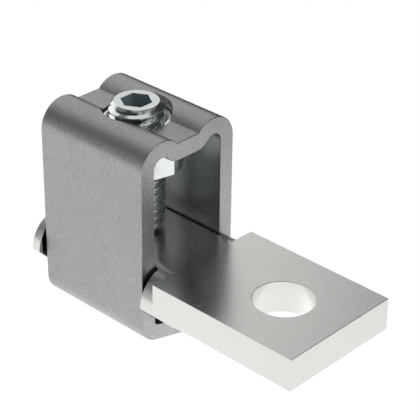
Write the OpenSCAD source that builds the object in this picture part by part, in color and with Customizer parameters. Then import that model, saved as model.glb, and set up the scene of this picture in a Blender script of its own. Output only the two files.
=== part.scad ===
// Frame clamp terminal for one stranded conductor.
// A closed box-section frame hangs around a contact lug. A set screw, carried in a
// nut pressed into the frame's top web, pushes the conductor down onto the lug and
// pulls the frame's dished floor up under the lug's belly.
//
// Millimetres. +X runs from the clamp to the free end of the palm and +Z is up.
// The origin is the centre of the palm's bolt hole, on the palm's underside.

/* [Palm] */
// Width of the palm, which is the lug's full width
palm_w = 30; // [28:0.5:36]
// Thickness of the palm
palm_t = 7.5; // [5:0.5:9]
// Diameter of the bolt hole
palm_hole_d = 13; // [8:0.5:15]
// Bolt hole centre to the palm's free end
palm_end = 15; // [11:0.5:20]
// Bolt hole centre to the palm's shoulder, beside the clamp
palm_neck = 22.5; // [16:0.5:30]
// Chamfer at the upper edge of the bolt hole
hole_chamfer = 0.15; // [0:0.05:0.5]

/* [Lug] */
// Radius of the lug's rounded upper edges beside the frame
lug_round = 7.5; // [4:0.5:7.5]
// Depth of the lug's belly at its keel, below the lug's top
belly_depth = 16; // [14:0.5:19]
// Slope of the lug's flanks, from horizontal
flank_angle = 45; // [40:1:50]
// Length of the ear in front of the frame
front_ear = 3.75; // [2:0.25:6]
// Length of the ear behind the frame
back_ear = 2.25; // [1.5:0.25:6]

/* [Frame] */
// Outer width of the frame
frame_w = 27; // [26:0.5:29]
// Length of the frame along the conductor
frame_l = 30; // [24:1:40]
// Thickness of the walls and the floor
wall_t = 3.75; // [3:0.25:4.5]
// Thickness of the top web
web_t = 4; // [3:0.25:5]
// Outer radius of the two rounded ridges over the walls
ridge_r = 6; // [5:0.25:6.5]
// Height of the web's top above the lug's top
web_top = 26.5; // [24:0.5:34]
// Height of the ridges above the web's top
ridge_rise = 1.9; // [1:0.1:2.5]
// Slope of the dished floor, from horizontal
floor_angle = 14.5; // [10:0.5:18]
// Inner radius of the corners between the floor and the walls
floor_corner_r = 1.25; // [1:0.25:2]
// Diameter of the hole through the web
web_hole_d = 15; // [14:0.5:16]

/* [Nut] */
// Size across the nut's flats
nut_af = 18.2; // [17:0.1:18.6]
// Height of the nut under the web
nut_h = 7.1; // [5:0.1:9]
// Depth of the nut's collar below the top of the web
collar_drop = 0.5; // [0.2:0.1:1]
// Turn of the nut about its axis, which brings its corners to the walls
nut_turn = -14.5; // [-20:0.5:-10]

/* [Screw] */
// Outside diameter of the thread
screw_d = 11.9; // [9.9:0.1:11.9]
// Length of the set screw
screw_l = 28.9; // [24:0.1:34]
// Height of the screw's tip above the lug's top, as drawn
tip_height = 1; // [0.5:0.1:6]
// Diameter of the screw's flat upper end
screw_end_d = 9.7; // [8:0.1:9.8]
// Height of the chamfer at the upper end
screw_end_chamfer = 1.1; // [0.5:0.1:1.6]
// Chamfer at the screw's tip
tip_chamfer = 0.35; // [0.2:0.05:0.8]
// Size across the flats of the hexagon socket
socket_af = 6; // [5:0.5:6]
// Depth of the socket's flats
socket_depth = 7; // [5:0.5:8]
// Point angle of the drilled floor of the socket
drill_angle = 120; // [110:2:140]

/* [Clearances] */
// Lug to each inner wall of the frame
side_gap = 0.35; // [0.2:0.05:0.6]
// Each ear to the end of the frame
end_gap = 0.75; // [0.3:0.05:1.2]
// Frame's floor below the lug's belly, as drawn
floor_gap = 1.05; // [0.5:0.05:2]
// Nut's corners to the frame's walls
nut_wall_gap = 0.05; // [0.05:0.01:0.2]
// Nut's collar to the web hole, on the radius
collar_gap = 0.05; // [0.02:0.01:0.1]
// Screw to the nut's bore, on the radius
thread_gap = 0.05; // [0.02:0.01:0.1]
// Chamfer at both mouths of the nut's bore
bore_chamfer = 0.6; // [0.3:0.1:0.8]

/* [Hidden] */
$fn = 96;
// Extra length that carries a cut past the face it opens
over = 1;

// Places along X, from the shoulder of the palm back to the rear ear
shoulder_x = -palm_neck;
notch_front_x = shoulder_x - front_ear;
notch_l = frame_l + 2 * end_gap;
clamp_x = notch_front_x - notch_l / 2;
lug_back_x = notch_front_x - notch_l - back_ear;

// Half widths of the lug and of the frame's inside
half_w = palm_w / 2;
frame_half = frame_w / 2;
inner_half = frame_half - wall_t;
waist_half = inner_half - side_gap;

// Heights of the lug's belly: flank_h is where a flank meets the keel's slope
lug_top = palm_t;
keel_z = lug_top - belly_depth;
flank_top_z = lug_top - lug_round;
flank_foot_y = (half_w * tan(flank_angle) - flank_top_z + keel_z)
    / (tan(flank_angle) - tan(floor_angle));
flank_foot_z = keel_z + flank_foot_y * tan(floor_angle);

// Heights of the frame: its floor follows the slope of the lug's keel
floor_z = keel_z - floor_gap;
floor_low_z = floor_z - wall_t / cos(floor_angle);
corner_r = floor_corner_r + wall_t;
corner_y = inner_half - floor_corner_r;
corner_z = floor_z + corner_y * tan(floor_angle) + floor_corner_r / cos(floor_angle);
web_top_z = lug_top + web_top;
web_low_z = web_top_z - web_t;
ridge_y = frame_half - ridge_r;
ridge_z = web_top_z + ridge_rise - ridge_r;
pocket_r = ridge_r - wall_t;
crease_y = ridge_y - sqrt(pow(ridge_r, 2) - pow(web_top_z - ridge_z, 2));
// The fillet under each crease has the web's thickness as its radius
fillet_z = web_low_z + web_t;
fillet_y = ridge_y - sqrt(pow(pocket_r + web_t, 2) - pow(fillet_z - ridge_z, 2));

// Sizes of the nut and the screw
nut_low_z = web_low_z - nut_h;
nut_bore_r = screw_d / 2 + thread_gap;
// The nut's corners are turned to the radius at which they clear the frame's walls
nut_flat_half = (inner_half - nut_wall_gap - nut_af / 2 * cos(nut_turn)) / sin(-nut_turn);
nut_corner_r = norm([nut_af / 2, nut_flat_half]);
collar_top_z = web_top_z - collar_drop;
tip_z = lug_top + tip_height;
screw_top_z = tip_z + screw_l;
socket_r = socket_af / (2 * cos(30));

// Closes the right half of an outline, listed upwards, with its mirror image
function mirrored(half) = concat(half, [
    for (i = [len(half) - 1:-1:0]) if (half[i][0] > 0) [-half[i][0], half[i][1]]
]);

// Point where a floor corner of radius r runs into the slope of the floor
function floor_tangent(r) = [corner_y + r * sin(floor_angle), corner_z - r * cos(floor_angle)];

// Extrudes a section drawn in Y and Z over a length along X, from x_low up
module along_x(x_low, length) {
    translate([x_low, 0, 0])
        rotate([90, 0, 90])
            linear_extrude(length)
                children();
}

// A circle on each side of the middle plane
module circle_pair(y, z, r) {
    for (side = [-1, 1])
        translate([side * y, z]) circle(r);
}

// Section of the lug's ears: rounded shoulders, sloped flanks and a keel
module lug_section() {
    polygon(mirrored([
        [0, keel_z], [flank_foot_y, flank_foot_z],
        [half_w, flank_top_z], [half_w - lug_round, lug_top]
    ]));
    intersection() {
        circle_pair(half_w - lug_round, flank_top_z, lug_round);
        translate([-half_w, flank_top_z]) square([palm_w, lug_round + over]);
    }
}

module contact_lug() {
    color([0.84, 0.84, 0.82])
        difference() {
            union() {
                along_x(lug_back_x, shoulder_x - lug_back_x) lug_section();
                translate([shoulder_x, -half_w, 0])
                    cube([palm_neck + palm_end, palm_w, palm_t]);
            }
            // Notches that the frame's walls stand in
            for (side = [-1, 1])
                translate([clamp_x, side * (waist_half + half_w), lug_top - belly_depth / 2])
                    cube([notch_l, 2 * half_w, belly_depth + 2 * over], center = true);
            bolt_hole();
        }
}

// Bolt hole with its upper edge chamfered
module bolt_hole() {
    hole_r = palm_hole_d / 2;
    translate([0, 0, -over])
        cylinder(r = hole_r, h = palm_t + 2 * over);
    translate([0, 0, palm_t - hole_chamfer])
        cylinder(r1 = hole_r, r2 = hole_r + hole_chamfer + over, h = hole_chamfer + over);
}

// Outline of the frame: two ridges, a flat web between them and a dished floor
module frame_outline() {
    polygon(mirrored([
        [0, floor_low_z], floor_tangent(corner_r), [frame_half, corner_z],
        [frame_half, ridge_z], [ridge_y, ridge_z], [crease_y, web_top_z]
    ]));
    circle_pair(ridge_y, ridge_z, ridge_r);
    circle_pair(corner_y, corner_z, corner_r);
}

// Space inside the frame, with a pocket under each ridge
module frame_window() {
    difference() {
        union() {
            polygon(mirrored([
                [0, floor_z], floor_tangent(floor_corner_r), [inner_half, corner_z],
                [inner_half, ridge_z], [ridge_y, ridge_z], [fillet_y, web_low_z]
            ]));
            circle_pair(ridge_y, ridge_z, pocket_r);
            circle_pair(corner_y, corner_z, floor_corner_r);
        }
        circle_pair(fillet_y, fillet_z, web_t);
    }
}

module clamp_frame() {
    color([0.60, 0.61, 0.61])
        difference() {
            along_x(clamp_x - frame_l / 2, frame_l)
                difference() {
                    frame_outline();
                    frame_window();
                }
            translate([clamp_x, 0, web_low_z - over])
                cylinder(d = web_hole_d, h = web_t + ridge_rise + 2 * over);
        }
}

// Nut with turned corners under the web and a collar pressed into the web hole
module press_nut() {
    color([0.88, 0.90, 0.91])
        translate([clamp_x, 0, 0])
            difference() {
                union() {
                    intersection() {
                        rotate([0, 0, nut_turn])
                            translate([-nut_af / 2, -nut_af / 2, nut_low_z])
                                cube([nut_af, nut_af, nut_h]);
                        translate([0, 0, nut_low_z])
                            cylinder(r = nut_corner_r, h = nut_h);
                    }
                    translate([0, 0, web_low_z - over])
                        cylinder(r = web_hole_d / 2 - collar_gap, h = over + collar_top_z - web_low_z);
                }
                nut_bore();
            }
}

// Bore of the nut with a countersink at each mouth
module nut_bore() {
    translate([0, 0, nut_low_z - over])
        cylinder(r = nut_bore_r, h = collar_top_z - nut_low_z + 2 * over);
    translate([0, 0, collar_top_z - bore_chamfer])
        cylinder(r1 = nut_bore_r, r2 = nut_bore_r + bore_chamfer + over, h = bore_chamfer + over);
    translate([0, 0, nut_low_z - over])
        cylinder(r1 = nut_bore_r + bore_chamfer + over, r2 = nut_bore_r, h = bore_chamfer + over);
}

module clamp_screw() {
    screw_r = screw_d / 2;
    color([0.86, 0.88, 0.89])
        translate([clamp_x, 0, 0])
            difference() {
                rotate_extrude()
                    polygon([
                        [0, tip_z], [screw_r - tip_chamfer, tip_z], [screw_r, tip_z + tip_chamfer],
                        [screw_r, screw_top_z - screw_end_chamfer],
                        [screw_end_d / 2, screw_top_z], [0, screw_top_z]
                    ]);
                hex_socket();
            }
}

// Hexagon socket, a corner towards each side wall, over a drilled cone
module hex_socket() {
    cone_r = socket_af / 2;
    cone_h = cone_r / tan(drill_angle / 2);
    translate([0, 0, screw_top_z - socket_depth])
        rotate([0, 0, 30])
            cylinder(r = socket_r, h = socket_depth + over, $fn = 6);
    translate([0, 0, screw_top_z - socket_depth - cone_h])
        cylinder(r1 = 0, r2 = cone_r, h = cone_h);
}

contact_lug();
clamp_frame();
press_nut();
clamp_screw();
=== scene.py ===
import math

import bmesh
import bpy
from mathutils import Matrix, Vector


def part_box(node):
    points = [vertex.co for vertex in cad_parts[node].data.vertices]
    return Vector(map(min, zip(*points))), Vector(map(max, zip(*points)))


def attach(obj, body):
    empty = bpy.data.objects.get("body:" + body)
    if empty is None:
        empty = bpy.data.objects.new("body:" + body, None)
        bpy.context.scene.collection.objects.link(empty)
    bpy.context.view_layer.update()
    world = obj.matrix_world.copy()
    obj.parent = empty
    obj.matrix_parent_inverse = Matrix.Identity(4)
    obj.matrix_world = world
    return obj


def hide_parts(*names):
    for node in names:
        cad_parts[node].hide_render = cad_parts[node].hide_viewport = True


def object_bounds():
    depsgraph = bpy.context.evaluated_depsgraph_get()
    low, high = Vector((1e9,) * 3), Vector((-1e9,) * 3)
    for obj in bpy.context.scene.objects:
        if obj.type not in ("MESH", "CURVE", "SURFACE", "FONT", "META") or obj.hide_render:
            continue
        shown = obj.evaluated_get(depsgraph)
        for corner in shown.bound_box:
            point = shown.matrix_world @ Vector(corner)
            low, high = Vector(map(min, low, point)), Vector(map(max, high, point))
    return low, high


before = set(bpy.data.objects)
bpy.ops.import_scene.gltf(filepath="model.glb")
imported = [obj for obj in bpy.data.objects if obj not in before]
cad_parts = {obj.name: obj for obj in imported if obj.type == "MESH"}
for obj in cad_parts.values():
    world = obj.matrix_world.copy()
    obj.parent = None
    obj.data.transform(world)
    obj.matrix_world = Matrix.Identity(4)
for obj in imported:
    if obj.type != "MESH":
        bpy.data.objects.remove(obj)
cad_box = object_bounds()

MM = 0.001

# Corners of the four solids' boxes, in millimetres
LUG_LOW, LUG_HIGH = (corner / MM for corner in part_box("contact_lug"))
FRAME_LOW, FRAME_HIGH = (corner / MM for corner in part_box("clamp_frame"))
SCREW_LOW, SCREW_HIGH = (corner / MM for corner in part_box("clamp_screw"))
NUT_LOW, NUT_HIGH = (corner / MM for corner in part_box("press_nut"))

# The frame, in millimetres, as the CAD model has it
CLAMP_X = (FRAME_LOW.x + FRAME_HIGH.x) / 2
WALL_T = 3.75
WEB_T = 4.0
RIDGE_R = 6.0
RIDGE_RISE = 1.9
FLOOR_ANGLE = math.radians(14.5)
FLOOR_CORNER_R = 1.25
WEB_HOLE_R = 7.5
FRAME_HALF = FRAME_HIGH.y
INNER_HALF = FRAME_HALF - WALL_T

# The lug and its gaps to the frame, as the CAD model has them
PALM_T = 7.5
PALM_NECK = 22.5
PALM_HOLE_R = 6.5
LUG_ROUND = 7.5
FLANK_ANGLE = math.radians(45)
END_GAP = 0.75
SIDE_GAP = 0.35

# The nut, as the CAD model has it but for the collar's small edge, its knurl and its root in the nut
NUT_AF = 18.2
NUT_H = 7.1
NUT_TURN = math.radians(-14.5)
NUT_CORNER_GAP = 0.05
NUT_SINK = 0.6
THREAD_GAP = 0.05
COLLAR_ROOT = 0.5
COLLAR_R = 7.45
COLLAR_EDGE = 0.08
KNURL_TEETH = 72
KNURL_DEPTH = 0.35

# The thread, which the CAD model leaves out. Its turn and the crest's half width and rounded side
# are shares of the pitch
THREAD_PITCH = 1.75
THREAD_DEPTH = 0.6134 * THREAD_PITCH
THREAD_R = 5.95
THREAD_TURN = -0.246
CREST_HALF = 1 / 16
CREST_ROUND = 0.04
CREST_SLOPE = 1.5
CREST_DEPTH = 0.02

# The screw's two ends and its socket, as the CAD model has them but for the flare at the socket's mouth
SCREW_END_R = 4.85
SCREW_END_CHAMFER = 1.1
TIP_CHAMFER = 0.35
SOCKET_AF = 6.0
SOCKET_DEPTH = 7.0
SOCKET_FLARE = 0.22
FLARE_DROP = 0.1
DRILL_HALF_ANGLE = math.radians(60)

# Small rounded edges
FRAME_EDGE = 0.2
LUG_EDGE = 0.15
NUT_EDGE = 0.2

# Points round a full circle, how far a cutter reaches past what it cuts, and what counts as touching
ROUND_STEPS = 120
PAST = 1
TOUCH = 0.01


# Plain mesh helpers

def new_object(name, mesh):
    obj = bpy.data.objects.new(name, mesh)
    bpy.context.scene.collection.objects.link(obj)
    return obj


def mesh_of(name, points, faces):
    """A mesh object from points in millimetres."""
    mesh = bpy.data.meshes.new(name)
    mesh.from_pydata([tuple(c * MM for c in p) for p in points], [], faces)
    mesh.update()
    return new_object(name, mesh)


def prism_x(name, outline, x_low, x_high):
    """An outline in (y, z), counter-clockwise, extruded along X."""
    n = len(outline)
    points = [(x, y, z) for x in (x_low, x_high) for y, z in outline]
    sides = [(i, (i + 1) % n, n + (i + 1) % n, n + i) for i in range(n)]
    caps = [tuple(range(n))[::-1], tuple(range(n, 2 * n))]
    return mesh_of(name, points, sides + caps)


def lathe(name, profile, segments, centre=(0.0, 0.0)):
    """A profile of (r, z), listed upwards, turned round a vertical axis and closed with flat ends."""
    points, faces = [], []
    for r, z in profile:
        for k in range(segments):
            a = 2 * math.pi * k / segments
            points.append((centre[0] + r * math.cos(a), centre[1] + r * math.sin(a), z))
    for row in range(len(profile) - 1):
        for k in range(segments):
            a, b = row * segments + k, row * segments + (k + 1) % segments
            faces.append((a, b, b + segments, a + segments))
    faces.append(tuple(range(segments))[::-1])
    faces.append(tuple(range((len(profile) - 1) * segments, len(profile) * segments)))
    return mesh_of(name, points, faces)


def box(name, low, high):
    """A box between two corners."""
    xs, ys, zs = zip(low, high)
    points = [(x, y, z) for x in xs for y in ys for z in zs]
    faces = [(0, 1, 3, 2), (4, 6, 7, 5), (0, 4, 5, 1), (2, 3, 7, 6), (0, 2, 6, 4), (1, 5, 7, 3)]
    return mesh_of(name, points, faces)


def apply_modifiers(obj):
    """Replaces an object's mesh with what its modifiers make of it."""
    depsgraph = bpy.context.evaluated_depsgraph_get()
    mesh = bpy.data.meshes.new_from_object(obj.evaluated_get(depsgraph), depsgraph=depsgraph)
    obj.modifiers.clear()
    old, obj.data = obj.data, mesh
    bpy.data.meshes.remove(old)


def combine(obj, other, operation):
    """Applies an exact boolean of other to obj, and removes other."""
    modifier = obj.modifiers.new("combine", "BOOLEAN")
    modifier.operation = operation
    modifier.solver = "EXACT"
    modifier.material_mode = "TRANSFER"
    modifier.object = other
    apply_modifiers(obj)
    bpy.data.objects.remove(other)
    return obj


def round_edges(obj, width, wanted=lambda edge: True):
    """Rounds the sharp convex edges that wanted(edge) picks, then shades by angle."""
    smooth_angle = 30
    flat_angle = 0.2
    bm = bmesh.new()
    bm.from_mesh(obj.data)
    bmesh.ops.remove_doubles(bm, verts=bm.verts, dist=TOUCH * MM)
    bmesh.ops.dissolve_limit(bm, angle_limit=math.radians(flat_angle), verts=bm.verts, edges=bm.edges)
    bm.normal_update()
    edges = [
        e for e in bm.edges
        if len(e.link_faces) == 2 and e.is_convex
        and e.calc_face_angle(0) > math.radians(smooth_angle) and wanted(e)
    ]
    bmesh.ops.bevel(
        bm, geom=edges, offset=width * MM, segments=2, profile=0.5,
        affect="EDGES", clamp_overlap=False, loop_slide=True,
    )
    bmesh.ops.remove_doubles(bm, verts=bm.verts, dist=TOUCH / 5 * MM)
    bm.to_mesh(obj.data)
    bm.free()
    shade(obj, smooth_angle)
    return obj


def close_ends(obj):
    """Caps the two open ends of a helical mesh."""
    bm = bmesh.new()
    bm.from_mesh(obj.data)
    open_edges = [e for e in bm.edges if e.is_boundary]
    bmesh.ops.holes_fill(bm, edges=open_edges, sides=0)
    bmesh.ops.triangulate(bm, faces=[f for f in bm.faces if len(f.verts) > 4])
    bmesh.ops.recalc_face_normals(bm, faces=bm.faces)
    bm.to_mesh(obj.data)
    bm.free()


def clean_cuts(obj):
    """Merges the slivers that a boolean leaves along a cut."""
    bm = bmesh.new()
    bm.from_mesh(obj.data)
    bmesh.ops.remove_doubles(bm, verts=bm.verts, dist=TOUCH * MM)
    bmesh.ops.dissolve_degenerate(bm, edges=bm.edges, dist=TOUCH * MM)
    bmesh.ops.triangulate(bm, faces=[f for f in bm.faces if len(f.verts) > 4])
    bmesh.ops.dissolve_degenerate(bm, edges=bm.edges, dist=TOUCH * MM)
    loose = [v for v in bm.verts if not v.link_faces]
    bmesh.ops.delete(bm, geom=loose, context="VERTS")
    bm.to_mesh(obj.data)
    bm.free()


def shade(obj, smooth_angle):
    """Smooth shading up to an angle, with normals weighted so that flat faces stay flat."""
    obj.data.shade_smooth()
    obj.data.set_sharp_from_angle(angle=math.radians(smooth_angle))
    modifier = obj.modifiers.new("normals", "WEIGHTED_NORMAL")
    modifier.mode = "FACE_AREA"
    modifier.weight = 50
    modifier.keep_sharp = True
    apply_modifiers(obj)


def turn_and_place(obj, turn):
    """Turns a mesh that is built round Z, and moves it onto the clamp's axis."""
    obj.data.transform(Matrix.Rotation(turn, 4, "Z"))
    obj.data.transform(Matrix.Translation(Vector((CLAMP_X, 0, 0)) * MM))


def middle(edge):
    """Middle of an edge, in millimetres."""
    return (edge.verts[0].co + edge.verts[1].co) / 2 / MM


# Outlines

def arc(centre, r, start, end, steps):
    """Points of an arc, from start to end in degrees."""
    angles = [math.radians(start + (end - start) * k / steps) for k in range(steps + 1)]
    return [(centre[0] + r * math.cos(a), centre[1] + r * math.sin(a)) for a in angles]


def mirrored(half):
    """Closes the +Y half of an outline, listed upwards, with its mirror image."""
    return half + [(-y, z) for y, z in reversed(half) if y > 1e-6]


WEB_TOP = FRAME_HIGH.z - RIDGE_RISE
WEB_LOW = WEB_TOP - WEB_T
RIDGE_Y = FRAME_HALF - RIDGE_R
RIDGE_Z = FRAME_HIGH.z - RIDGE_R
POCKET_R = RIDGE_R - WALL_T
KEEL_Z = FRAME_LOW.z + WALL_T / math.cos(FLOOR_ANGLE)
CORNER_Y = INNER_HALF - FLOOR_CORNER_R
CORNER_Z = KEEL_Z + CORNER_Y * math.tan(FLOOR_ANGLE) + FLOOR_CORNER_R / math.cos(FLOOR_ANGLE)
CORNER_START = -90 + math.degrees(FLOOR_ANGLE)


def frame_outline():
    """Outside of the frame's section: dished floor, walls, and ridges down to the web's creases."""
    crease = math.degrees(math.asin((WEB_TOP - RIDGE_Z) / RIDGE_R))
    half = [(0, FRAME_LOW.z)]
    half += arc((CORNER_Y, CORNER_Z), FLOOR_CORNER_R + WALL_T, CORNER_START, 0, steps=14)
    half += arc((RIDGE_Y, RIDGE_Z), RIDGE_R, 0, 180 - crease, steps=32)
    return mirrored(half)


def frame_window():
    """Inside of the frame's section: a pocket under each ridge, joined to the web by a fillet."""
    rise = WEB_TOP - RIDGE_Z
    run = math.sqrt((POCKET_R + WEB_T) ** 2 - rise ** 2)
    meet = math.degrees(math.atan2(rise, -run))
    half = [(0, KEEL_Z)]
    half += arc((CORNER_Y, CORNER_Z), FLOOR_CORNER_R, CORNER_START, 0, steps=8)
    half += arc((RIDGE_Y, RIDGE_Z), POCKET_R, 0, meet, steps=18)
    half += arc((RIDGE_Y - run, WEB_TOP), WEB_T, meet - 180, -90, steps=10)[1:]
    return mirrored(half)


def lug_outline():
    """Section of the lug's deep bar: keel, sloped flanks and rounded upper edges."""
    belly = LUG_LOW.z
    half_w = LUG_HIGH.y
    flank_top = PALM_T - LUG_ROUND
    floor_slope, flank_slope = math.tan(FLOOR_ANGLE), math.tan(FLANK_ANGLE)
    foot_y = (half_w * flank_slope - flank_top + belly) / (flank_slope - floor_slope)
    half = [(0, belly), (foot_y, belly + foot_y * floor_slope)]
    half += arc((half_w - LUG_ROUND, flank_top), LUG_ROUND, 0, 90, steps=20)
    return mirrored(half)


# The four pieces

def make_frame():
    obj = prism_x("clamp_frame_body", frame_outline(), FRAME_LOW.x, FRAME_HIGH.x)
    obj.data.materials.append(frame_metal())
    window = prism_x("window", frame_window(), FRAME_LOW.x - PAST, FRAME_HIGH.x + PAST)
    # The window's walls take a lighter, bluer copy of the frame metal: painted light in the frame's
    # hollow.
    window.data.materials.append(frame_inside_painted_light())
    combine(obj, window, "DIFFERENCE")
    hole_profile = [(WEB_HOLE_R, WEB_LOW - PAST), (WEB_HOLE_R, FRAME_HIGH.z + PAST)]
    hole = lathe("hole", hole_profile, ROUND_STEPS, (CLAMP_X, 0))
    hole.data.materials.append(frame_inside_painted_light())
    combine(obj, hole, "DIFFERENCE")

    def on_end(edge):
        return abs(abs(middle(edge).x - CLAMP_X) - (FRAME_HIGH.x - CLAMP_X)) < TOUCH

    round_edges(obj, FRAME_EDGE, on_end)
    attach(obj, "clamp")
    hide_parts("clamp_frame")
    return obj


def make_lug():
    shoulder = -PALM_NECK
    notch_low = FRAME_LOW.x - END_GAP
    notch_high = FRAME_HIGH.x + END_GAP
    waist = INNER_HALF - SIDE_GAP
    obj = prism_x("contact_lug_body", lug_outline(), LUG_LOW.x, shoulder)
    palm = box("palm", (shoulder, LUG_LOW.y, 0), (LUG_HIGH.x, LUG_HIGH.y, PALM_T))
    combine(obj, palm, "UNION")
    obj.data.materials.clear()
    obj.data.materials.append(tin())
    # The notch's cut walls take a darker copy of the tin: painted shade in the narrow gaps beside the
    # frame.
    notch_painted_shade = tin_notch_painted_shade()
    for side in (-1, 1):
        y_low, y_high = sorted((side * waist, side * (LUG_HIGH.y + PAST)))
        low_corner = (notch_low, y_low, LUG_LOW.z - PAST)
        high_corner = (notch_high, y_high, PALM_T + PAST)
        notch = box("notch", low_corner, high_corner)
        notch.data.materials.append(notch_painted_shade)
        combine(obj, notch, "DIFFERENCE")
    hole = lathe("hole", [(PALM_HOLE_R, -PAST), (PALM_HOLE_R, PALM_T + PAST)], ROUND_STEPS)
    # The palm's bore takes a lighter, glossier copy of the tin: painted light in the hole.
    hole.data.materials.append(tin_bore_painted_light())
    combine(obj, hole, "DIFFERENCE")
    round_edges(obj, LUG_EDGE)
    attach(obj, "lug")
    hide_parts("contact_lug")
    return obj


def make_nut():
    low, high = NUT_LOW.z, NUT_LOW.z + NUT_H
    half = NUT_AF / 2
    corner_half = (INNER_HALF - NUT_CORNER_GAP - half * math.cos(NUT_TURN)) / math.sin(-NUT_TURN)
    corner_r = math.hypot(half, corner_half)
    obj = box("press_nut_body", (-half, -half, low), (half, half, high))
    turn_and_place(obj, NUT_TURN)
    bar_profile = [(corner_r, low - PAST), (corner_r, high + PAST)]
    round_bar = lathe("round_bar", bar_profile, ROUND_STEPS * 3 // 2, (CLAMP_X, 0))
    combine(obj, round_bar, "INTERSECT")
    collar = make_collar(high - COLLAR_ROOT, NUT_HIGH.z)
    combine(obj, collar, "UNION")
    bore_r = THREAD_R + THREAD_GAP
    mouth_r = bore_r + NUT_SINK + PAST
    bore_profile = [
        (mouth_r, low - PAST), (bore_r, low + NUT_SINK),
        (bore_r, NUT_HIGH.z - NUT_SINK), (mouth_r, NUT_HIGH.z + PAST),
    ]
    bore = lathe("bore", bore_profile, ROUND_STEPS, (CLAMP_X, 0))
    combine(obj, bore, "DIFFERENCE")
    obj.data.materials.clear()
    obj.data.materials.append(chrome("nut_chrome", 0.13))

    def outside_collar(edge):
        away = math.hypot(middle(edge).x - CLAMP_X, middle(edge).y)
        return middle(edge).z < high + TOUCH and away > COLLAR_R + PAST

    round_edges(obj, NUT_EDGE, outside_collar)
    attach(obj, "clamp")
    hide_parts("press_nut")
    return obj


def make_collar(z_low, z_high):
    """The collar's solid round, with a knurl of fine teeth outside."""
    tooth = (0.0, 0.5, 1.0, 0.5)
    steps = KNURL_TEETH * len(tooth)
    rings = [(z_low, 0.0), (z_high - COLLAR_EDGE, 0.0), (z_high, COLLAR_EDGE)]
    points, faces = [], []
    for z, inset in rings:
        for k in range(steps):
            r = COLLAR_R - inset - KNURL_DEPTH * tooth[k % len(tooth)]
            a = 2 * math.pi * k / steps
            points.append((CLAMP_X + r * math.cos(a), r * math.sin(a), z))
    for row in range(len(rings) - 1):
        for k in range(steps):
            a, b = row * steps + k, row * steps + (k + 1) % steps
            faces.append((a, b, b + steps, a + steps))
    faces.append(tuple(range(steps))[::-1])
    faces.append(tuple(range((len(rings) - 1) * steps, len(rings) * steps)))
    return mesh_of("collar", points, faces)


def threaded_rod(name, z_low, z_high):
    """A right-hand thread whose rows of points follow the helix, longer than asked at both ends."""
    columns = ROUND_STEPS
    flank = CREST_HALF + THREAD_DEPTH / math.sqrt(3) / THREAD_PITCH
    shoulder = CREST_HALF + CREST_ROUND
    shoulder_depth = CREST_ROUND * THREAD_PITCH * CREST_SLOPE
    upper_half = [(CREST_HALF, CREST_DEPTH), (shoulder, shoulder_depth), (flank, THREAD_DEPTH)]
    rows = [(-share, depth) for share, depth in reversed(upper_half)] + upper_half
    per_turn = len(rows)
    first = math.floor((z_low - SCREW_LOW.z) / THREAD_PITCH - THREAD_TURN) - 2
    last = math.ceil((z_high - SCREW_LOW.z) / THREAD_PITCH - THREAD_TURN) + 1
    helix = [(k + share + THREAD_TURN, depth) for k in range(first, last + 1) for share, depth in rows]
    points = []
    for share, depth in helix:
        for k in range(columns):
            a = 2 * math.pi * k / columns
            z = SCREW_LOW.z + (share + k / columns) * THREAD_PITCH
            r = THREAD_R - depth
            points.append((CLAMP_X + r * math.cos(a), r * math.sin(a), z))
    faces = []
    for i in range(len(helix) - 1):
        for k in range(columns - 1):
            at = i * columns + k
            faces.append((at, at + 1, at + columns + 1, at + columns))
        if i + 1 + per_turn < len(helix):
            at = i * columns + columns - 1
            over = (i + per_turn) * columns
            faces.append((at, over, over + columns, at + columns))
    return mesh_of(name, points, faces)


def make_screw():
    """A set screw: its thread cut to length by the turned shape of its blank."""
    obj = threaded_rod("clamp_screw_body", SCREW_LOW.z - PAST, SCREW_HIGH.z + PAST)
    close_ends(obj)
    obj.data.materials.append(chrome("thread_chrome", 0.08, 0.28, tone=0.95))
    top = SCREW_HIGH.z
    edge_out, edge_in, edge_drop = 0.06, 0.03, 0.08
    blank_profile = [
        (THREAD_R - TIP_CHAMFER, SCREW_LOW.z), (THREAD_R, SCREW_LOW.z + TIP_CHAMFER),
        (THREAD_R, top - SCREW_END_CHAMFER), (SCREW_END_R + edge_out, top - edge_drop),
        (SCREW_END_R - edge_in, top),
    ]
    blank = lathe("blank", blank_profile, ROUND_STEPS, (CLAMP_X, 0))
    blank.data.materials.append(chrome("screw_chrome", 0.1, tone=0.91))
    combine(obj, blank, "INTERSECT")
    sides = 6
    socket_r = SOCKET_AF / 2 / math.cos(math.pi / sides)
    floor = top - SOCKET_DEPTH
    socket_profile = [
        (socket_r, floor), (socket_r, top - FLARE_DROP), (socket_r + SOCKET_FLARE, top + FLARE_DROP),
    ]
    socket = lathe("socket", socket_profile, sides)
    turn_and_place(socket, math.pi / sides)
    # The socket's walls take the darker copy of the chrome: painted shade in the recess.
    socket.data.materials.append(socket_painted_shade())
    socket.data.materials.append(bpy.data.materials["screw_chrome"])
    for flare in socket.data.polygons[sides:2 * sides]:
        flare.material_index = 1
    combine(obj, socket, "DIFFERENCE")
    cone_r = SOCKET_AF / 2
    cone_h = cone_r / math.tan(DRILL_HALF_ANGLE)
    cone_steps = 48
    taper, reach = 0.05, 0.3
    cone_profile = [(TOUCH, floor - cone_h), (cone_r, floor), (cone_r - taper, floor + reach)]
    cone = lathe("cone", cone_profile, cone_steps, (CLAMP_X, 0))
    # The drill point also takes the darker copy: painted shade at the bottom of the socket.
    cone.data.materials.append(bpy.data.materials["socket_painted_shade"])
    combine(obj, cone, "DIFFERENCE")
    clean_cuts(obj)
    shade(obj, smooth_angle=24)
    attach(obj, "screw")
    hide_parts("clamp_screw")
    return obj


# Shader nodes

# How much of a unit normal lies along an axis on a face that counts as facing it
FACING_LIMIT = 0.7


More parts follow.
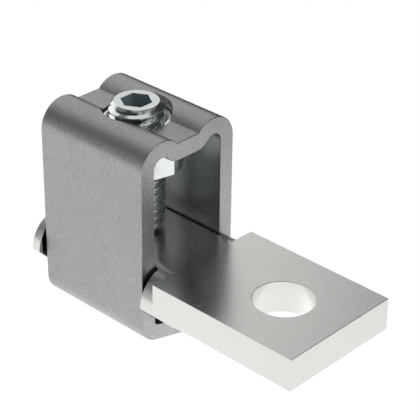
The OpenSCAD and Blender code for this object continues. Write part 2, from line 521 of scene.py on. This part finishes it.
def math_node(tree, operation, *values):
    """A maths node whose inputs are each a socket or a number."""
    node = tree.nodes.new("ShaderNodeMath")
    node.operation = operation
    for socket, value in zip(node.inputs, values):
        if isinstance(value, (int, float)):
            socket.default_value = value
        else:
            tree.links.new(value, socket)
    return node.outputs[0]


def range_node(tree, value, from_low, from_high, to_low, to_high):
    """Maps a socket smoothly from one range to another."""
    node = tree.nodes.new("ShaderNodeMapRange")
    node.interpolation_type = "SMOOTHSTEP"
    names = ("From Min", "From Max", "To Min", "To Max")
    for name, number in zip(names, (from_low, from_high, to_low, to_high)):
        node.inputs[name].default_value = number
    tree.links.new(value, node.inputs["Value"])
    return node.outputs["Result"]


def seen_rays(tree, in_gloss):
    """1 for rays from the camera or through glass, in_gloss for reflected rays, and 0 for the rest."""
    path = tree.nodes.new("ShaderNodeLightPath")
    seen, through = path.outputs["Is Camera Ray"], path.outputs["Is Transmission Ray"]
    clear = math_node(tree, "MAXIMUM", seen, through)
    gloss = math_node(tree, "MULTIPLY", path.outputs["Is Glossy Ray"], in_gloss)
    return math_node(tree, "MAXIMUM", clear, gloss)


class Nodes:
    """Short calls for building a material's node tree."""

    def __init__(self, name):
        self.material = bpy.data.materials.new(name)
        self.material.use_nodes = True
        self.tree = self.material.node_tree
        self.shader = self.tree.nodes["Principled BSDF"]

    def add(self, kind, **values):
        node = self.tree.nodes.new(kind)
        for key, value in values.items():
            setattr(node, key, value)
        return node

    def link(self, source, target):
        self.tree.links.new(source, target)

    def position(self, scale):
        """Object position times a scale for each axis."""
        where = self.add("ShaderNodeTexCoord")
        mapping = self.add("ShaderNodeMapping")
        mapping.inputs["Scale"].default_value = scale
        self.link(where.outputs["Object"], mapping.inputs["Vector"])
        return mapping.outputs["Vector"]

    def noise(self, scale, detail=2.0, roughness=0.5):
        """A noise with a scale for each axis."""
        node = self.add("ShaderNodeTexNoise")
        node.inputs["Scale"].default_value = 1.0
        node.inputs["Detail"].default_value = detail
        node.inputs["Roughness"].default_value = roughness
        self.link(self.position(scale), node.inputs["Vector"])
        return node.outputs["Fac"]

    def ramp(self, value, low, high):
        """Maps a noise, which keeps mostly between 0.25 and 0.75, onto low to high."""
        node = self.add("ShaderNodeMapRange")
        node.inputs["From Min"].default_value = 0.25
        node.inputs["From Max"].default_value = 0.75
        node.inputs["To Min"].default_value = low
        node.inputs["To Max"].default_value = high
        self.link(value, node.inputs["Value"])
        return node.outputs["Result"]

    def mix(self, factor, a, b):
        """a where factor is 0 and b where it is 1."""
        node = self.add("ShaderNodeMix", data_type="FLOAT")
        self.link(factor, node.inputs[0])
        self.link(a, node.inputs[2])
        self.link(b, node.inputs[3])
        return node.outputs[0]

    def number(self, value):
        node = self.add("ShaderNodeValue")
        node.outputs[0].default_value = value
        return node.outputs[0]

    def times(self, a, b):
        return math_node(self.tree, "MULTIPLY", a, b)

    def scaled(self, color, factor):
        """A colour times a number."""
        node = self.add("ShaderNodeVectorMath", operation="SCALE")
        self.link(color, node.inputs[0])
        self.link(factor, node.inputs["Scale"])
        return node.outputs[0]

    def tint(self, factor, dark, light):
        """A colour from dark, where factor is 0, to light, where it is 1."""
        node = self.add("ShaderNodeMix", data_type="RGBA")
        node.inputs[6].default_value = (*dark, 1)
        node.inputs[7].default_value = (*light, 1)
        self.link(factor, node.inputs[0])
        return node.outputs[2]

    def bump(self, height, strength, distance):
        node = self.add("ShaderNodeBump")
        node.inputs["Strength"].default_value = strength
        node.inputs["Distance"].default_value = distance
        self.link(height, node.inputs["Height"])
        self.link(node.outputs["Normal"], self.shader.inputs["Normal"])

    def set(self, **values):
        for key, value in values.items():
            self.shader.inputs[key].default_value = value

    def facing(self, axis):
        """1 on faces that look along an axis, either way, and 0 on the others."""
        where = self.add("ShaderNodeNewGeometry")
        split = self.add("ShaderNodeSeparateXYZ")
        self.link(where.outputs["True Normal"], split.inputs[0])
        size = math_node(self.tree, "ABSOLUTE", split.outputs[axis])
        return math_node(self.tree, "GREATER_THAN", size, FACING_LIMIT)


# Materials, with the scales of their noises in waves per metre

def brushed(name, side, end, side_rough, end_rough):
    """Metal brushed round the section, with an even grain on the faces that look along X."""
    grain_share = 0.55
    n = Nodes(name)
    streaks = n.noise((3600, 600, 600), detail=4, roughness=0.65)
    grain = n.noise((2900, 2900, 2900), detail=3, roughness=0.7)
    cloud = n.noise((140, 60, 60), detail=2)
    on_end = n.facing("X")
    worn = n.mix(n.number(grain_share), streaks, grain)
    fine = n.mix(on_end, worn, grain)
    contrast = n.mix(on_end, n.ramp(worn, 0.6, 1.4), n.ramp(grain, 0.69, 1.31))
    shade_of = n.times(contrast, n.ramp(cloud, 0.97, 1.03))
    n.link(n.scaled(n.tint(on_end, side, end), shade_of), n.shader.inputs["Base Color"])
    rough = n.mix(on_end, n.number(side_rough), n.number(end_rough))
    n.link(n.times(rough, n.ramp(fine, 0.92, 1.08)), n.shader.inputs["Roughness"])
    n.bump(fine, 0.25, 0.00003)
    n.set(Metallic=1.0)
    return n.material


def frame_metal():
    side = (0.41, 0.41, 0.408)
    end = (0.46, 0.46, 0.457)
    return brushed("frame_brushed", side, end, side_rough=0.353, end_rough=0.34)


# A rougher copy of the frame metal for the window and the web's hole, with lighter, bluer sides:
# painted light in the frame's hollow.
def frame_inside_painted_light():
    side = (0.45, 0.466, 0.466)
    end = (0.4, 0.4, 0.4)
    return brushed("frame_inside_painted_light", side, end, side_rough=0.42, end_rough=0.42)


def tinned(name, dark, light, rough_low, rough_high):
    """Satin tin, with more grain on the faces that look up or down."""
    n = Nodes(name)
    cloud = n.noise((120, 120, 120), detail=3)
    grain = n.noise((1500, 1500, 1500), detail=3, roughness=0.6)
    contrast = n.mix(n.facing("Z"), n.ramp(grain, 0.985, 1.015), n.ramp(grain, 0.94, 1.06))
    n.link(n.scaled(n.tint(n.ramp(cloud, 0, 1), dark, light), contrast), n.shader.inputs["Base Color"])
    n.link(n.ramp(cloud, rough_low, rough_high), n.shader.inputs["Roughness"])
    n.set(Metallic=1.0)
    return n.material


def tin():
    return tinned("tin_plating", (0.795, 0.795, 0.77), (0.81, 0.81, 0.785), 0.255, 0.275)


# A darker copy of the tin for the notch's walls: painted shade in the gaps between the lug and the
# frame.
def tin_notch_painted_shade():
    return tinned("tin_notch_painted_shade", (0.4, 0.4, 0.39), (0.46, 0.46, 0.445), 0.14, 0.18)


# A lighter, glossier copy of the tin for the palm's bore: painted light in the hole.
def tin_bore_painted_light():
    return tinned("tin_bore_painted_light", (0.855, 0.855, 0.83), (0.875, 0.875, 0.85), 0.2, 0.28)


def chrome(name, roughness, low_roughness=None, tone=1.0):
    """Bright plating, duller below the nut if low_roughness is given, and darker if tone is below 1."""
    n = Nodes(name)
    wear = n.noise((700, 700, 700), detail=3)
    color = n.tint(n.ramp(wear, 0, 1), (0.85, 0.89, 0.895), (0.885, 0.925, 0.93))
    n.link(n.scaled(color, n.number(tone)), n.shader.inputs["Base Color"])
    rough = n.number(roughness)
    if low_roughness is not None:
        split = n.add("ShaderNodeSeparateXYZ")
        n.link(n.position((1, 1, 1)), split.inputs[0])
        nut_z = (NUT_LOW.z * MM, NUT_HIGH.z * MM)
        rough = range_node(n.tree, split.outputs["Z"], *nut_z, low_roughness, roughness)
    n.link(n.times(rough, n.ramp(wear, 0.8, 1.3)), n.shader.inputs["Roughness"])
    n.set(Metallic=1.0)
    return n.material


def socket_painted_shade():
    """The inside of the screw's socket, in a duller, darker copy of the chrome: the darker colour is
    painted shade in the recess.
    """
    n = Nodes("socket_painted_shade")
    wear = n.noise((900, 900, 300), detail=3)
    color = n.tint(n.ramp(wear, 0, 1), (0.42, 0.5, 0.52), (0.48, 0.56, 0.58))
    n.link(color, n.shader.inputs["Base Color"])
    n.link(n.ramp(wear, 0.4, 0.55), n.shader.inputs["Roughness"])
    n.set(Metallic=0.4)
    return n.material


# Studio

# The camera that took the photo, in metres, with its lens and sensor in millimetres
CAMERA_AT = Vector((0.16974, -0.20349, 0.18151))
CAMERA_AZIMUTH = math.radians(-46.896)
CAMERA_ELEVATION = math.radians(30.136)
CAMERA_ROLL = math.radians(0.804)
LENS = 134.66
SENSOR_WIDTH = 36


def make_camera():
    a, e, roll = CAMERA_AZIMUTH, CAMERA_ELEVATION, CAMERA_ROLL
    back = Vector((math.cos(e) * math.cos(a), math.cos(e) * math.sin(a), math.sin(e)))
    right = Vector((-math.sin(a), math.cos(a), 0))
    up = back.cross(right)
    x_axis = math.cos(roll) * right + math.sin(roll) * up
    y_axis = -math.sin(roll) * right + math.cos(roll) * up
    data = bpy.data.cameras.new("camera")
    data.lens = LENS
    data.sensor_width = SENSOR_WIDTH
    data.clip_start = 0.01
    camera = bpy.data.objects.new("camera", data)
    camera.matrix_world = Matrix((x_axis, y_axis, back)).transposed().to_4x4()
    camera.matrix_world.translation = CAMERA_AT
    bpy.context.scene.collection.objects.link(camera)
    bpy.context.scene.camera = camera


# The frame's travel down from the CAD's place, and what the floor clears it by, in millimetres
CLAMP_TRAVEL = 14.3
FLOOR_GAP = 0.3

# The floor, in metres: its half width, how far its brighter middle reaches out from under the clamp
# and how bright it is near and far, and where along Y it fades out of reflections
FLOOR_HALF = 3.0
GLOW_REACH = (0.012, 0.06)
GLOW_LEVELS = (1.3, 1.055)
FADE_Y = (0.03, 0.26)

# Share of the floor's white that is light of its own; the rest of it takes shadows
FLOOR_WHITE = 0.93


def make_floor():
    """A pale floor that clears the frame at its lowest place, and lets rays from below through."""
    z = cad_box[0].z - (CLAMP_TRAVEL + FLOOR_GAP) * MM
    corners = [(-1, -1), (1, -1), (1, 1), (-1, 1)]
    mesh = bpy.data.meshes.new("studio_floor")
    mesh.from_pydata([(x * FLOOR_HALF, y * FLOOR_HALF, z) for x, y in corners], [], [(0, 1, 2, 3)])
    floor = new_object("studio_floor", mesh)
    material = bpy.data.materials.new("studio_floor")
    material.use_nodes = True
    tree = material.node_tree
    tree.nodes.clear()
    out = tree.nodes.new("ShaderNodeOutputMaterial")
    diffuse = tree.nodes.new("ShaderNodeBsdfDiffuse")
    diffuse.inputs["Color"].default_value = (0.8, 0.8, 0.8, 1)
    white = tree.nodes.new("ShaderNodeEmission")
    where = tree.nodes.new("ShaderNodeNewGeometry")
    away = tree.nodes.new("ShaderNodeVectorMath")
    away.operation = "DISTANCE"
    away.inputs[1].default_value = (CLAMP_X * MM, 0, z)
    tree.links.new(where.outputs["Position"], away.inputs[0])
    glow = range_node(tree, away.outputs["Value"], *GLOW_REACH, *GLOW_LEVELS)
    split = tree.nodes.new("ShaderNodeSeparateXYZ")
    tree.links.new(where.outputs["Position"], split.inputs[0])
    in_gloss = range_node(tree, split.outputs["Y"], *FADE_Y, 1.0, 0.0)
    level = math_node(tree, "MULTIPLY", glow, seen_rays(tree, in_gloss))
    tree.links.new(level, white.inputs["Strength"])
    share = math_node(tree, "MULTIPLY", seen_rays(tree, 1.0), FLOOR_WHITE)
    mix = tree.nodes.new("ShaderNodeMixShader")
    tree.links.new(share, mix.inputs[0])
    tree.links.new(diffuse.outputs[0], mix.inputs[1])
    tree.links.new(white.outputs[0], mix.inputs[2])
    clear = tree.nodes.new("ShaderNodeBsdfTransparent")
    side = tree.nodes.new("ShaderNodeMixShader")
    tree.links.new(where.outputs["Backfacing"], side.inputs[0])
    tree.links.new(mix.outputs[0], side.inputs[1])
    tree.links.new(clear.outputs[0], side.inputs[2])
    tree.links.new(side.outputs[0], out.inputs["Surface"])
    mesh.materials.append(material)


# Soft boxes of the studio: direction, cosines of the angles where each ends and is full, brightness.
# A cosine past 1 makes a box that nowhere gets to its full brightness
SOFT_BOXES = [
    ((-0.878, 0.269, 0.396), 0.792, 0.854, 0.585),
    ((-0.339, -0.919, 0.199), 0.884, 1.043, 0.79),
    ((-0.98, 0.0, 0.2), 0.25, 0.55, 0.145),
    ((-0.98, 0.1, 0.08), 0.82, 0.97, 0.28),
    ((0.824, 0.2, 0.5), 0.93, 0.965, 1.13),
    ((0.78, 0.35, 0.5), 0.66, 0.9, 0.17),
    ((0.0, 0.0, 1.0), 0.87, 0.97, 0.65),
]
AMBIENT = 0.04


def make_world():
    """Soft boxes for the light and the reflections, and plain white for the camera."""
    world = bpy.data.worlds.new("studio")
    world.use_nodes = True
    tree = world.node_tree
    tree.nodes.clear()
    out = tree.nodes.new("ShaderNodeOutputWorld")
    where = tree.nodes.new("ShaderNodeTexCoord")
    total = AMBIENT
    for direction, edge, full, level in SOFT_BOXES:
        dot = tree.nodes.new("ShaderNodeVectorMath")
        dot.operation = "DOT_PRODUCT"
        dot.inputs[1].default_value = Vector(direction).normalized()
        tree.links.new(where.outputs["Generated"], dot.inputs[0])
        box_level = range_node(tree, dot.outputs["Value"], edge, full, 0, level)
        total = math_node(tree, "ADD", total, box_level)
    studio = tree.nodes.new("ShaderNodeBackground")
    studio.inputs["Color"].default_value = (1, 1, 1, 1)
    tree.links.new(total, studio.inputs["Strength"])
    white = tree.nodes.new("ShaderNodeBackground")
    white.inputs["Color"].default_value = (1, 1, 1, 1)
    mix = tree.nodes.new("ShaderNodeMixShader")
    tree.links.new(seen_rays(tree, 0.0), mix.inputs[0])
    tree.links.new(studio.outputs[0], mix.inputs[1])
    tree.links.new(white.outputs[0], mix.inputs[2])
    tree.links.new(mix.outputs[0], out.inputs["Surface"])
    bpy.context.scene.world = world


make_camera()
make_floor()
make_world()
make_frame()
make_lug()
make_nut()
make_screw()

scene = bpy.context.scene
scene.view_settings.view_transform = "Standard"
